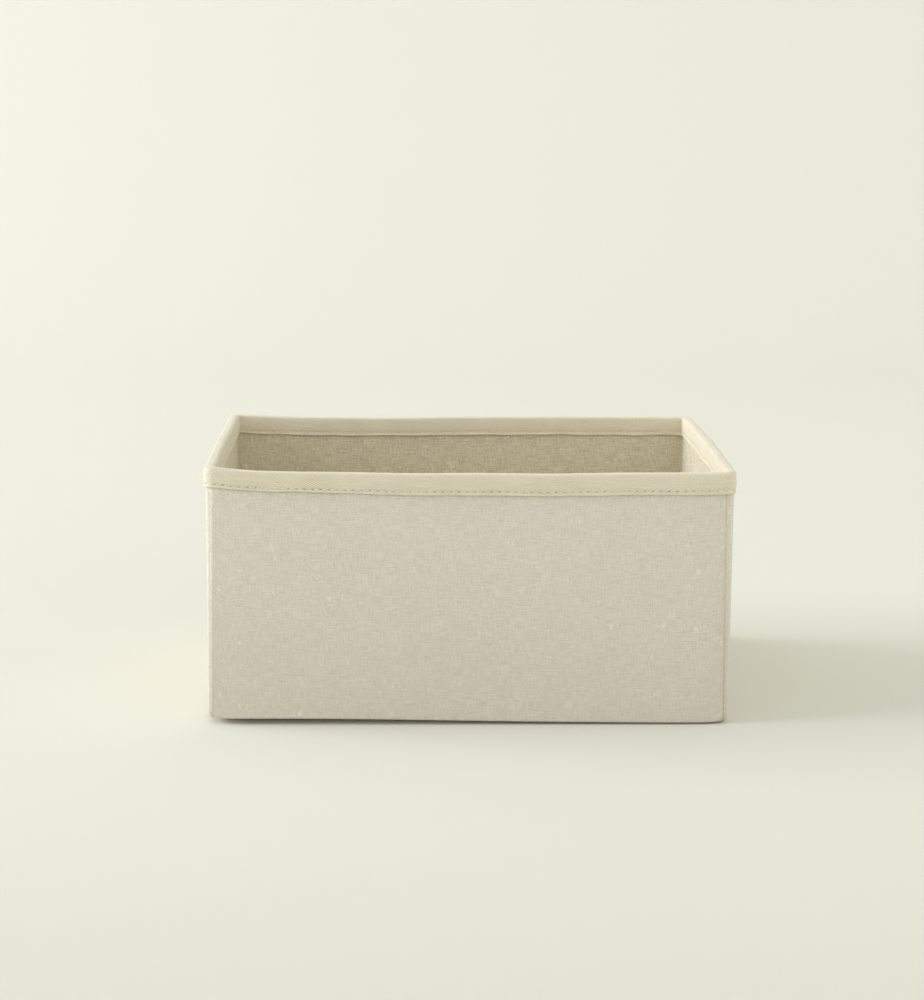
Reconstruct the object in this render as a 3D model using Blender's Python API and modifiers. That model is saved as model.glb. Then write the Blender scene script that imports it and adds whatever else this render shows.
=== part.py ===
"""Fabric storage bin: a rectangular open box of canvas over stiff boards.

Each wall is an outer canvas panel, a stiffening board and a lining panel. A twill tape is folded over
the rim and stitched through all the layers. A canvas-covered board lies loose on the bottom and lifts
straight out. The origin is on the surface that the bin stands on, under its middle, and the long
sides face -Y and +Y.
"""

import math

import bmesh
import bpy

# Size over everything, in metres. WIDTH and DEPTH are taken over the stitches on the rim tape.
WIDTH = 0.260
DEPTH = 0.185
HEIGHT = 0.128

# Materials' thicknesses
CANVAS = 0.0006
TWILL_TAPE = 0.0007
WALL_BOARD = 0.0018
THREAD = 0.0004
SEAM_THREAD = 0.0005
GAP = 0.0003

# Each layer's distance in from the widest outline, from the outside to the inside of a wall
TAPE_FACE = THREAD + GAP
CANVAS_FACE = TAPE_FACE + TWILL_TAPE + GAP
BOARD_FACE = CANVAS_FACE + CANVAS + GAP
LINING_BACK = BOARD_FACE + WALL_BOARD + GAP
TAPE_BACK = LINING_BACK + CANVAS + GAP
RIM_INSIDE = TAPE_BACK + TWILL_TAPE
BOBBIN_ROW = RIM_INSIDE + GAP + THREAD / 2

# The vertical corners, and the seams that join the side panels to the front and back panels
CORNER_RADIUS = 0.0067
CORNER_STEPS = 6
SEAM_INSET = 0.0055
PANEL_END = SEAM_INSET + GAP
BOARD_END = CORNER_RADIUS + GAP

# Rim tape
TAPE_OUTSIDE_FALL = 0.0117
TAPE_INSIDE_FALL = 0.0112
STITCH_ABOVE_HEM = 0.0023
WALL_TOP = HEIGHT - 0.0020

# Bottom: the walls turn under, and the base panels close what is left
BASE_INSET = 0.0029
TURN_RADIUS = 0.0018
TURN_END = 0.0044
TURN_HEIGHT = CANVAS + GAP
BOARD_FOOT = TURN_HEIGHT + CANVAS + TURN_RADIUS
BASE_LINING_FOOT = TURN_HEIGHT
LINING_FOOT = BASE_LINING_FOOT + CANVAS + GAP
BASE_SEAM_INSET = 0.0049
BASE_LINING_INSET = LINING_BACK + CANVAS + GAP
BASE_SEAM_THREAD = 0.0004
BASE_SEAM_HEIGHT = 0.0012

# Loose insert on the bottom
INSERT_INSET = 0.0080
INSERT_FOOT = LINING_FOOT
INSERT_BOARD = 0.0020
INSERT_BACKING = 0.0005
INSERT_RETURN = 0.0180
INSERT_BACKING_INSET = 0.0140
INSERT_CORNER = 0.0020

CANVAS_COLOUR = (0.60, 0.57, 0.46)
LINING_COLOUR = (0.57, 0.54, 0.43)
TAPE_COLOUR = (0.68, 0.63, 0.48)
THREAD_COLOUR = (0.64, 0.60, 0.47)
BOARD_COLOUR = (0.34, 0.30, 0.24)
PAPER_COLOUR = (0.66, 0.62, 0.53)

BIN_COLLECTION = "fabric_storage_bin"
CUTTER_COLLECTION = "cutters"


def clear_scene():
    for obj in list(bpy.data.objects):
        bpy.data.objects.remove(obj, do_unlink=True)


def new_collection(name):
    collection = bpy.data.collections.new(name)
    bpy.context.scene.collection.children.link(collection)
    return collection


def principled(name, colour, roughness):
    material = bpy.data.materials.new(name)
    material.use_nodes = True
    shader = material.node_tree.nodes["Principled BSDF"]
    shader.inputs["Base Color"].default_value = (*colour, 1.0)
    shader.inputs["Roughness"].default_value = roughness
    shader.inputs["Metallic"].default_value = 0.0
    return material


def body_empty(name, location=(0.0, 0.0, 0.0)):
    empty = bpy.data.objects.new(name, None)
    empty.location = location
    empty.empty_display_size = 0.02
    bpy.data.collections[BIN_COLLECTION].objects.link(empty)
    return empty


def place(name, data, body, location, colour=CANVAS_COLOUR, roughness=0.9):
    """A sub-part: its object, in the bin's collection, with a material of its own."""
    obj = bpy.data.objects.new(name, data)
    bpy.data.collections[BIN_COLLECTION].objects.link(obj)
    obj.parent = body
    obj.location = [at - from_body for at, from_body in zip(location, body.location)]
    if not data.materials:
        data.materials.append(None)
    slot = obj.material_slots[0]
    slot.link = "OBJECT"
    slot.material = principled(name, colour, roughness)
    return obj


def box_mesh(name, size):
    """A box of the given size about its own middle."""
    mesh = bpy.data.meshes.new(name)
    shape = bmesh.new()
    bmesh.ops.create_cube(shape, size=1.0)
    bmesh.ops.scale(shape, vec=size, verts=shape.verts)
    shape.to_mesh(mesh)
    shape.free()
    return mesh


def cutter_box(name, low, high):
    cutter = bpy.data.objects.new(name, box_mesh(name, [b - a for a, b in zip(low, high)]))
    cutter.location = [(a + b) / 2 for a, b in zip(low, high)]
    cutter.hide_render = True
    cutter.display_type = "WIRE"
    bpy.data.collections[CUTTER_COLLECTION].objects.link(cutter)
    return cutter


def boolean(obj, operation, cutter, solver="EXACT"):
    modifier = obj.modifiers.new(cutter.name, "BOOLEAN")
    modifier.operation = operation
    modifier.solver = solver
    modifier.object = cutter


def rounded_rectangle(inset, radius=None):
    """The bin's outline in plan, anticlockwise, drawn in by the inset with its corners concentric."""
    radius = CORNER_RADIUS - inset if radius is None else radius
    half_x = WIDTH / 2 - inset - radius
    half_y = DEPTH / 2 - inset - radius
    corners = ((half_x, half_y), (-half_x, half_y), (-half_x, -half_y), (half_x, -half_y))
    points = []
    for quarter, (x, y) in enumerate(corners):
        for step in range(CORNER_STEPS + 1):
            angle = (quarter + step / CORNER_STEPS) * math.pi / 2
            points.append((x + radius * math.cos(angle), y + radius * math.sin(angle)))
    return points


def poly_curve(name, points, cyclic):
    curve = bpy.data.curves.new(name, "CURVE")
    curve.dimensions = "3D"
    spline = curve.splines.new("POLY")
    spline.points.add(len(points) - 1)
    for point, place_at in zip(spline.points, points):
        point.co = (*place_at, 1.0)
    spline.use_cyclic_u = cyclic
    return curve


def swept_sheet(name, inset, section):
    """The open surface that a section, as (outwards, up) points, leaves along the outline at the inset."""
    path = poly_curve(name + "_path", [(x, y, 0.0) for x, y in rounded_rectangle(inset)], True)
    path.twist_mode = "Z_UP"
    profile = poly_curve(name + "_section", [(out, up, 0.0) for out, up in section], False)
    profile_object = bpy.data.objects.new(profile.name, profile)
    path.bevel_mode = "OBJECT"
    path.bevel_object = profile_object
    path_object = bpy.data.objects.new(path.name, path)
    for obj in (path_object, profile_object):
        bpy.data.collections[CUTTER_COLLECTION].objects.link(obj)
    graph = bpy.context.evaluated_depsgraph_get()
    mesh = bpy.data.meshes.new_from_object(path_object.evaluated_get(graph))
    mesh.name = name
    for obj in (path_object, profile_object):
        bpy.data.objects.remove(obj, do_unlink=True)
    return mesh


def solidify(obj, thickness):
    """Thickens a sheet equally to both sides of its surface."""
    modifier = obj.modifiers.new("thickness", "SOLIDIFY")
    modifier.thickness = thickness
    modifier.offset = 0.0
    modifier.use_even_offset = True


def quarter_turn(centre, radius, start, steps):
    """Points along a quarter circle from the angle start, anticlockwise, as (outwards, up)."""
    angles = [start + step / steps * math.pi / 2 for step in range(steps + 1)]
    return [(centre[0] + radius * math.cos(a), centre[1] + radius * math.sin(a)) for a in angles]


def outer_walls(body):
    """Four canvas panels. The side panels wrap round the corners, and all four turn in under the bin."""
    middle = CANVAS_FACE + CANVAS / 2
    turn_centre = (-TURN_RADIUS, TURN_HEIGHT + CANVAS / 2 + TURN_RADIUS)
    turn = quarter_turn(turn_centre, TURN_RADIUS, -math.pi / 2, 4)
    section = [(middle - TURN_END, turn[0][1])] + turn + [(0.0, WALL_TOP)]
    canvas = swept_sheet("outer_walls", middle, section)
    end_x = WIDTH / 2 - PANEL_END
    seam_x = WIDTH / 2 - SEAM_INSET
    pieces = {
        "outer_front_panel": ((-end_x, -DEPTH, -HEIGHT), (end_x, 0.0, 2 * HEIGHT)),
        "outer_back_panel": ((-end_x, 0.0, -HEIGHT), (end_x, DEPTH, 2 * HEIGHT)),
        "outer_left_panel": ((-WIDTH, -DEPTH, -HEIGHT), (-seam_x, DEPTH, 2 * HEIGHT)),
        "outer_right_panel": ((seam_x, -DEPTH, -HEIGHT), (WIDTH, DEPTH, 2 * HEIGHT)),
    }
    for name, (low, high) in pieces.items():
        panel = place(name, canvas, body, (0.0, 0.0, 0.0))
        solidify(panel, CANVAS)
        boolean(panel, "INTERSECT", cutter_box(name + "_cut", low, high), "MANIFOLD")


def flat_sheet(name, body, inset, radius, foot, thickness, colour):
    """A flat layer with round corners, lying at the height foot."""
    outline = [(x, y, 0.0) for x, y in rounded_rectangle(inset, radius)]
    curve = poly_curve(name, outline, True)
    curve.dimensions = "2D"
    curve.fill_mode = "BOTH"
    curve.extrude = thickness / 2
    return place(name, curve, body, (0.0, 0.0, foot + thickness / 2), colour)


def wall_slab(name, body, side, face_inset, end_inset, thickness, foot, colour):
    """A flat upright layer on one side of the bin, between the heights foot and WALL_TOP."""
    height = WALL_TOP - foot
    middle = face_inset + thickness / 2
    if side in ("front", "back"):
        size = (WIDTH - 2 * end_inset, thickness, height)
        at = (0.0, (DEPTH / 2 - middle) * (1 if side == "back" else -1))
    else:
        size = (thickness, DEPTH - 2 * end_inset, height)
        at = ((WIDTH / 2 - middle) * (1 if side == "right" else -1), 0.0)
    return place(name, box_mesh(name, size), body, (*at, foot + height / 2), colour)


def boards(body):
    """Four stiffening boards, which stop short of the corners so that the canvas can turn there."""
    for side in ("front", "back", "left", "right"):
        name = side + "_stiffener"
        wall_slab(name, body, side, BOARD_FACE, BOARD_END, WALL_BOARD, BOARD_FOOT, BOARD_COLOUR)


def linings(body):
    for side in ("front", "back", "left", "right"):
        end = LINING_BACK if side in ("front", "back") else BASE_LINING_INSET
        wall_slab("lining_" + side, body, side, LINING_BACK, end, CANVAS, LINING_FOOT, LINING_COLOUR)
    radius = CORNER_RADIUS - BASE_LINING_INSET
    flat_sheet("lining_base", body, BASE_LINING_INSET, radius, BASE_LINING_FOOT, CANVAS, LINING_COLOUR)


def rim_tape(body):
    """The tape folded over the rim: down the outside, across the top and down the inside."""
    middle = (TAPE_FACE + RIM_INSIDE) / 2
    half = (RIM_INSIDE - TAPE_FACE - TWILL_TAPE) / 2
    shoulder = 0.0014
    top = HEIGHT - TWILL_TAPE / 2
    outer_turn = quarter_turn((half - shoulder, top - shoulder), shoulder, 0.0, 3)
    inner_turn = quarter_turn((shoulder - half, top - shoulder), shoulder, math.pi / 2, 3)
    section = [(half, HEIGHT - TAPE_OUTSIDE_FALL)] + outer_turn + inner_turn
    section.append((-half, HEIGHT - TAPE_INSIDE_FALL))
    tape = place("rim_tape", swept_sheet("rim_tape", middle, section), body, (0, 0, 0), TAPE_COLOUR)
    solidify(tape, TWILL_TAPE)


def thread_loop(name, body, inset, height, diameter):
    outline = [(x, y, 0.0) for x, y in rounded_rectangle(inset, max(CORNER_RADIUS - inset, diameter))]
    curve = poly_curve(name, outline, True)
    curve.bevel_depth = diameter / 2
    curve.bevel_resolution = 1
    return place(name, curve, body, (0.0, 0.0, height), THREAD_COLOUR)


def rim_stitching(body):
    """One lockstitch seam through the rim: the needle thread shows outside, the bobbin thread inside."""
    height = HEIGHT - TAPE_OUTSIDE_FALL + STITCH_ABOVE_HEM
    thread_loop("rim_needle_thread", body, THREAD / 2, height, THREAD)
    thread_loop("rim_bobbin_thread", body, BOBBIN_ROW, height, THREAD)


def corner_threads(body):
    """The threads that sew the panels together, inside each corner beside the ends of the boards."""
    length = WALL_TOP - BOARD_FOOT
    x = WIDTH / 2 - BOARD_END + GAP + SEAM_THREAD / 2
    y = DEPTH / 2 - BOARD_FACE - GAP
    for end, sign_y in (("front", -1), ("back", 1)):
        for side, sign_x in (("left", -1), ("right", 1)):
            name = f"corner_thread_{end}_{side}"
            line = [(0.0, 0.0, -length / 2), (0.0, 0.0, length / 2)]
            curve = poly_curve(name, line, False)
            curve.bevel_depth = SEAM_THREAD / 2
            curve.bevel_resolution = 1
            curve.use_fill_caps = True
            at = (sign_x * x, sign_y * y, BOARD_FOOT + length / 2)
            place(name, curve, body, at, THREAD_COLOUR)


def base(body):
    radius = CORNER_RADIUS - BASE_INSET
    flat_sheet("outer_base_panel", body, BASE_INSET, radius, 0.0, CANVAS, CANVAS_COLOUR)
    thread_loop("base_seam_thread", body, BASE_SEAM_INSET, BASE_SEAM_HEIGHT, BASE_SEAM_THREAD)


def insert_cover(body, board_foot):
    """Canvas wrapped round the insert's board, turned under its edges and open beneath."""
    skin = CANVAS + GAP
    foot = board_foot - skin
    head = board_foot + INSERT_BOARD + skin
    size = (WIDTH - 2 * INSERT_INSET, DEPTH - 2 * INSERT_INSET, head - foot)
    cover = place("insert_cover", box_mesh("insert_cover", size), body, (0.0, 0.0, (foot + head) / 2))
    rounding = cover.modifiers.new("round_corners", "BEVEL")
    rounding.width = INSERT_CORNER / 2
    rounding.segments = 3
    inside_x, inside_y = size[0] / 2 - CANVAS, size[1] / 2 - CANVAS
    low = (-inside_x, -inside_y, foot + CANVAS)
    high = (inside_x, inside_y, head - CANVAS)
    boolean(cover, "DIFFERENCE", cutter_box("insert_cover_hollow", low, high))
    open_x, open_y = size[0] / 2 - INSERT_RETURN, size[1] / 2 - INSERT_RETURN
    low = (-open_x, -open_y, foot - skin)
    high = (open_x, open_y, foot + skin)
    boolean(cover, "DIFFERENCE", cutter_box("insert_cover_opening", low, high))


def insert(body):
    """The loose bottom: a board in a canvas cover, with a sheet glued over the turned-in edges."""
    board_foot = INSERT_FOOT + INSERT_BACKING + GAP + CANVAS + GAP
    insert_cover(body, board_foot)
    inset = INSERT_INSET + CANVAS + GAP
    flat_sheet("insert_board", body, inset, INSERT_CORNER, board_foot, INSERT_BOARD, BOARD_COLOUR)
    flat_sheet("insert_backing", body, INSERT_BACKING_INSET, INSERT_CORNER, INSERT_FOOT, INSERT_BACKING, PAPER_COLOUR)


def main():
    clear_scene()
    new_collection(BIN_COLLECTION)
    new_collection(CUTTER_COLLECTION)
    bin_body = body_empty("bin")
    insert_body = body_empty("base_insert", (0.0, 0.0, INSERT_FOOT))
    outer_walls(bin_body)
    boards(bin_body)
    linings(bin_body)
    rim_tape(bin_body)
    rim_stitching(bin_body)
    corner_threads(bin_body)
    base(bin_body)
    insert(insert_body)


main()
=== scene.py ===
"""Fabric storage bin: canvas walls over boards, a stitched tape rim, a lining and a loose covered base.

Every layer is laid on one shared form. A place on the form is a distance along the bin's outline, a
height, and an inset measured inwards from the tape's outer face, so layers that touch stay together
however the form bows, waves or lifts. Lengths are in metres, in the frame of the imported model.
"""

import math

import bpy
import numpy as np
from mathutils import Matrix, Vector


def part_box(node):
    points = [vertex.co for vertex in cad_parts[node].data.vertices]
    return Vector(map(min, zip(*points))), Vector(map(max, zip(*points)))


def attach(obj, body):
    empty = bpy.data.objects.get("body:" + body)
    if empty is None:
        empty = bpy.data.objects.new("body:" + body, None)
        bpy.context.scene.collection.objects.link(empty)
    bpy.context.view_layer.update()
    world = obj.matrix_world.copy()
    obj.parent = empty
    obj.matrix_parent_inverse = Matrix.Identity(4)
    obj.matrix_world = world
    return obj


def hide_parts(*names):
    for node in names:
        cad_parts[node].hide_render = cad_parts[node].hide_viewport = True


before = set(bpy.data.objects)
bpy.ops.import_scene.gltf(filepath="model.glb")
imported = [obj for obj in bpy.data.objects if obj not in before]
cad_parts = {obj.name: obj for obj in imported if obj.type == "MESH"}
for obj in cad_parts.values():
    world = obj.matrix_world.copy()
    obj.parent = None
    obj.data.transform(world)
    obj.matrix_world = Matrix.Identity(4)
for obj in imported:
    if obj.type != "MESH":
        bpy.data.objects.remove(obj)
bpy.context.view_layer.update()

MM = 0.001

# ---------------------------------------------------------------- sizes from the frame
TAPE_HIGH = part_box("rim_tape")[1]
END_FULLNESS = 1.6 * MM
HALF_X, HALF_Y, RIM = TAPE_HIGH.x + END_FULLNESS, TAPE_HIGH.y, TAPE_HIGH.z
CANVAS_INSET = 1.05 * MM
BOARD_INSET = 1.9 * MM
BOARD_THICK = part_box("right_stiffener")[1].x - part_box("right_stiffener")[0].x
BOARD_FOOT, BOARD_TOP = (corner.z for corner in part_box("right_stiffener"))
LINING_FACE = TAPE_HIGH.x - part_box("lining_right")[0].x
LINING_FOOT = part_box("lining_right")[0].z
LINING_BASE_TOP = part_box("lining_base")[1].z
WALL_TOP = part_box("outer_right_panel")[1].z
INSERT_LOW, INSERT_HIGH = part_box("insert_cover")
BACKING_LOW, BACKING_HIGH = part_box("insert_backing")
CANVAS = 0.6 * MM
LINING_BASE = 0.4 * MM
TAPE = 0.75 * MM

# ---------------------------------------------------------------- the form
RIM_CORNER = 5.2 * MM
FOOT_CORNER = 2.6 * MM
TIGHTEST_CORNER = 0.9 * MM
CORNER_LIFTS = {1.5: 0.3 * MM, 3.5: 0.2 * MM, 5.5: 0.7 * MM, 7.5: 2.2 * MM}
LIFT_REACH = 14 * MM
FRONT_FALL = 0.9 * MM
FRONT_FALL_REACH = 25 * MM
SIDE_BOWS = (0.8 * MM, 1.2 * MM, 0.8 * MM, 0.9 * MM)
BACK_DIP, BACK_DIP_TURN, BACK_DIP_REACH = 0.7 * MM, 4.72, 45 * MM
FRONT_DIP, FRONT_DIP_TURN, FRONT_DIP_REACH = 0.6 * MM, 0.5, 85 * MM
NARROW_TURN, NARROW_REACH = 0.08, 60 * MM
RIM_WAVE, WALL_WAVE, WALL_RIPPLE = 0.12 * MM, 0.16 * MM, 0.05 * MM

# ---------------------------------------------------------------- sewing
STITCH_LENGTH = 4.0 * MM
THREAD = 0.42 * MM
STITCH_FALL = 8.9 * MM
TAPE_OUTSIDE_FALL = 10.8 * MM
TAPE_INSIDE_FALL = 10.1 * MM
SEAMS = {"front_right": 1.13, "back_right": 3.87, "back_left": 5.13, "front_left": 7.48}
SEAM_DEPTHS = {
    "front_right": 0.5 * MM,
    "back_right": 0.45 * MM,
    "back_left": 0.45 * MM,
    "front_left": 0.2 * MM,
}
LINING_SEAM_DEPTH = 0.18 * MM
SEAM_WIDTH = 0.9 * MM
STITCH_WAVE, STITCH_RISE = 0.10 * MM, 0.9 * MM
PINCH, PINCH_AT_HOLES, PINCH_WIDTH = 0.24 * MM, 0.12 * MM, 0.9 * MM

SIDES = ("front", "right", "back", "left")
COLUMN_STEP = 2.0 * MM


def smoothstep(low, high, value):
    t = np.clip((value - low) / (high - low), 0.0, 1.0)
    return t * t * (3 - 2 * t)


def bell(value, width):
    return np.exp(-((value / width) ** 2))


def corner_radius(inset, z):
    height = np.clip(z / RIM, 0.0, 1.0)
    outer = FOOT_CORNER + (RIM_CORNER - FOOT_CORNER) * height
    return np.maximum(outer - 0.85 * (inset - CANVAS_INSET), TIGHTEST_CORNER)


def outline(turn, half_x, half_y, radius):
    """Plan position and outward normal at a turn from 0 to 8 round a rounded rectangle, anticlockwise.

    0 to 1 is the front side, 1 to 2 the front right corner, 2 to 3 the right side, and so on.
    """
    turn = np.mod(turn, 8.0)
    section = np.minimum(np.floor(turn), 7.0)
    part = turn - section
    quarter = np.floor(section / 2)
    lengthways = np.mod(quarter, 2) == 0
    half_run = np.where(lengthways, half_x, half_y) - radius
    reach = np.where(lengthways, half_y, half_x)
    facing = (quarter - 1) * math.pi / 2
    on_corner = np.mod(section, 2) == 1
    along = np.where(on_corner, half_run, (2 * part - 1) * half_run)
    out = np.where(on_corner, reach - radius, reach)
    normal = facing + np.where(on_corner, part * math.pi / 2, 0.0)
    x = np.cos(facing) * out - np.sin(facing) * along
    y = np.sin(facing) * out + np.cos(facing) * along
    x = x + np.where(on_corner, radius * np.cos(normal), 0.0)
    y = y + np.where(on_corner, radius * np.sin(normal), 0.0)
    return x, y, np.cos(normal), np.sin(normal)


def outline_knots():
    """The distance along the outer canvas, at half height, where each of the eight sections starts."""
    radius = corner_radius(CANVAS_INSET, RIM / 2)
    long_side = 2 * (HALF_X - CANVAS_INSET - radius)
    short_side = 2 * (HALF_Y - CANVAS_INSET - radius)
    corner = radius * math.pi / 2
    lengths = [long_side, corner, short_side, corner] * 2
    return np.concatenate([[0.0], np.cumsum(lengths)])


KNOTS = outline_knots()
GIRTH = KNOTS[-1]
STITCH_PITCH = GIRTH / round(GIRTH / STITCH_LENGTH)


def turn_at(s):
    laps = np.floor(s / GIRTH)
    return np.interp(s - laps * GIRTH, KNOTS, np.arange(9.0)) + 8 * laps


def distance_at(turn):
    laps = np.floor(turn / 8)
    return float(np.interp(turn - 8 * laps, np.arange(9.0), KNOTS) + laps * GIRTH)


def from_corner(s, turn):
    """Signed distance along the outline from the place at the turn."""
    return np.mod(s - distance_at(turn) + GIRTH / 2, GIRTH) - GIRTH / 2


def ripple(s, seed, fewest, most, z=0.0, slant=0.0):
    """A smooth irregular wave of about unit height, with fewest to most cycles round the outline."""
    rng = np.random.default_rng(seed)
    cycles = rng.integers(fewest, most + 1, 9)
    phases = rng.uniform(0, 2 * math.pi, 9)
    tilts = rng.uniform(-slant, slant, 9)
    total = 0.0
    for cycle, phase, tilt in zip(cycles, phases, tilts):
        total = total + np.sin(2 * math.pi * (cycle * s / GIRTH + tilt * z) + phase)
    return total / 3.0


def lift(s, z):
    """How far the rim stands up at its corners and dips between them."""
    rise = RIM_WAVE * ripple(s, 11, 3, 16)
    for turn, height in CORNER_LIFTS.items():
        away = np.sqrt(from_corner(s, turn) ** 2 + (3 * MM) ** 2) - 3 * MM
        rise = rise + height * np.exp(-away / LIFT_REACH)
    rise = rise - BACK_DIP * bell(from_corner(s, BACK_DIP_TURN), BACK_DIP_REACH)
    rise = rise - FRONT_DIP * bell(from_corner(s, FRONT_DIP_TURN), FRONT_DIP_REACH)
    return rise * smoothstep(0.45 * RIM, RIM, z)


def push(s, z):
    """How far the wall stands out of its plane: the bow of each side, and slow waves."""
    turn = np.mod(turn_at(s), 8.0)
    side = np.floor(turn / 2).astype(int) % 4
    part = np.clip(turn - 2 * side, 0.0, 1.0)
    straight = 1 - (2 * part - 1) ** 2
    bow = np.take(SIDE_BOWS, side) * straight * np.clip(z / RIM, 0, 1) ** 1.3
    from_end = np.minimum(np.abs(from_corner(s, 0.0)), np.abs(from_corner(s, 1.0)))
    near_end = np.clip(1 - from_end / FRONT_FALL_REACH, 0, 1) ** 2
    past_front = np.minimum(np.maximum(turn - 1, 0), 8 - turn)
    bow = bow - FRONT_FALL * near_end * np.cos(np.clip(past_front, 0, 1) * math.pi / 2)
    waves = WALL_WAVE * ripple(s, 23, 4, 15, z, 9.0) + WALL_RIPPLE * ripple(s, 29, 20, 60, z, 30.0)
    free = np.minimum(straight * 4, 1.0) * smoothstep(0.0, 0.25 * RIM, z)
    return bow + waves * free


def narrow_end(s):
    """1 near the front left corner, where less of the tape is folded outside, fading to 0."""
    return bell(from_corner(s, NARROW_TURN), NARROW_REACH)


def stitch_height(s):
    return RIM - STITCH_FALL + STITCH_WAVE * ripple(s, 31, 8, 40) + STITCH_RISE * narrow_end(s)


def pinch(s, z):
    """How far the rim's seam pulls a layer into the wall: most at the needle holes."""
    holes = 0.5 + 0.5 * np.cos(2 * math.pi * s / STITCH_PITCH)
    return bell(z - stitch_height(s), PINCH_WIDTH) * (PINCH + PINCH_AT_HOLES * holes)


def place(s, z, inset):
    """Points of the form, as an array of shape (..., 3)."""
    s, z, inset = np.broadcast_arrays(s, z, inset)
    turn = turn_at(s)
    radius = corner_radius(inset, z)
    x, y, out_x, out_y = outline(turn, HALF_X - inset, HALF_Y - inset, radius)
    out = push(s, z)
    return np.stack([x + out_x * out, y + out_y * out, z + lift(s, z)], axis=-1)


# ---------------------------------------------------------------- meshes
def new_object(name, points, faces, material):
    mesh = bpy.data.meshes.new(name)
    mesh.from_pydata(points.reshape(-1, 3).tolist(), [], faces)
    mesh.materials.append(material)
    mesh.shade_smooth()
    obj = bpy.data.objects.new(name, mesh)
    bpy.context.scene.collection.objects.link(obj)
    return obj


def set_cloth(obj, u, v, above_seam=None):
    """Stores where each point lies on the flat cloth, and how far above the seam, in millimetres."""
    values = np.zeros((len(obj.data.vertices), 3), np.float32)
    values[:, 0] = np.asarray(u).reshape(-1) / MM
    values[:, 1] = np.asarray(v).reshape(-1) / MM
    if above_seam is not None:
        values[:, 2] = np.asarray(above_seam).reshape(-1) / MM
    attribute = obj.data.attributes.new("cloth_mm", "FLOAT_VECTOR", "POINT")
    attribute.data.foreach_set("vector", values.reshape(-1))


def grid_faces(rows, columns, closed=False, flipped=False, start=0):
    faces = []
    for row in range(rows - 1):
        for column in range(columns if closed else columns - 1):
            after = (column + 1) % columns
            a, b = row * columns + column, row * columns + after
            face = (a + start, b + start, b + columns + start, a + columns + start)
            faces.append(face[::-1] if flipped else face)
    return faces


def solidify(obj, thickness):
    """Gives a sheet its thickness, inwards from its outer face."""
    modifier = obj.modifiers.new("cloth_thickness", "SOLIDIFY")
    modifier.thickness = thickness
    modifier.offset = -1.0
    modifier.use_even_offset = True
    modifier.thickness_clamp = 1.0


def evenly(start, end, step):
    return np.linspace(start, end, max(2, int(round((end - start) / step)) + 1))


def columns_between(start, end):
    """Distances along the outline, close together at both ends and round the corners."""
    close = np.array([0.0, 0.25, 0.5, 0.8, 1.2, 1.7]) * MM
    inner = evenly(start + 2.4 * MM, end - 2.4 * MM, COLUMN_STEP)
    corners = []
    for lap in (-1, 0, 1):
        for section in (1, 3, 5, 7):
            corners.append(np.linspace(KNOTS[section], KNOTS[section + 1], 9) + lap * GIRTH)
    corners = np.concatenate(corners)
    corners = corners[(corners > start + 2 * MM) & (corners < end - 2 * MM)]
    found = np.unique(np.concatenate([start + close, inner, corners, end - close]))
    keep = np.concatenate([[True], np.diff(found) > 0.12 * MM])
    keep[-1] = True
    return found[keep]


def seam_fall(s, first_depth, last_depth):
    """How far a panel's edge columns roll into the seams at its two ends, as an added inset."""
    return first_depth * bell(s - s[0], SEAM_WIDTH) + last_depth * bell(s[-1] - s, SEAM_WIDTH)


def finish_piece(obj, body, node):
    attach(obj, body)
    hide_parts(node)


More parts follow.
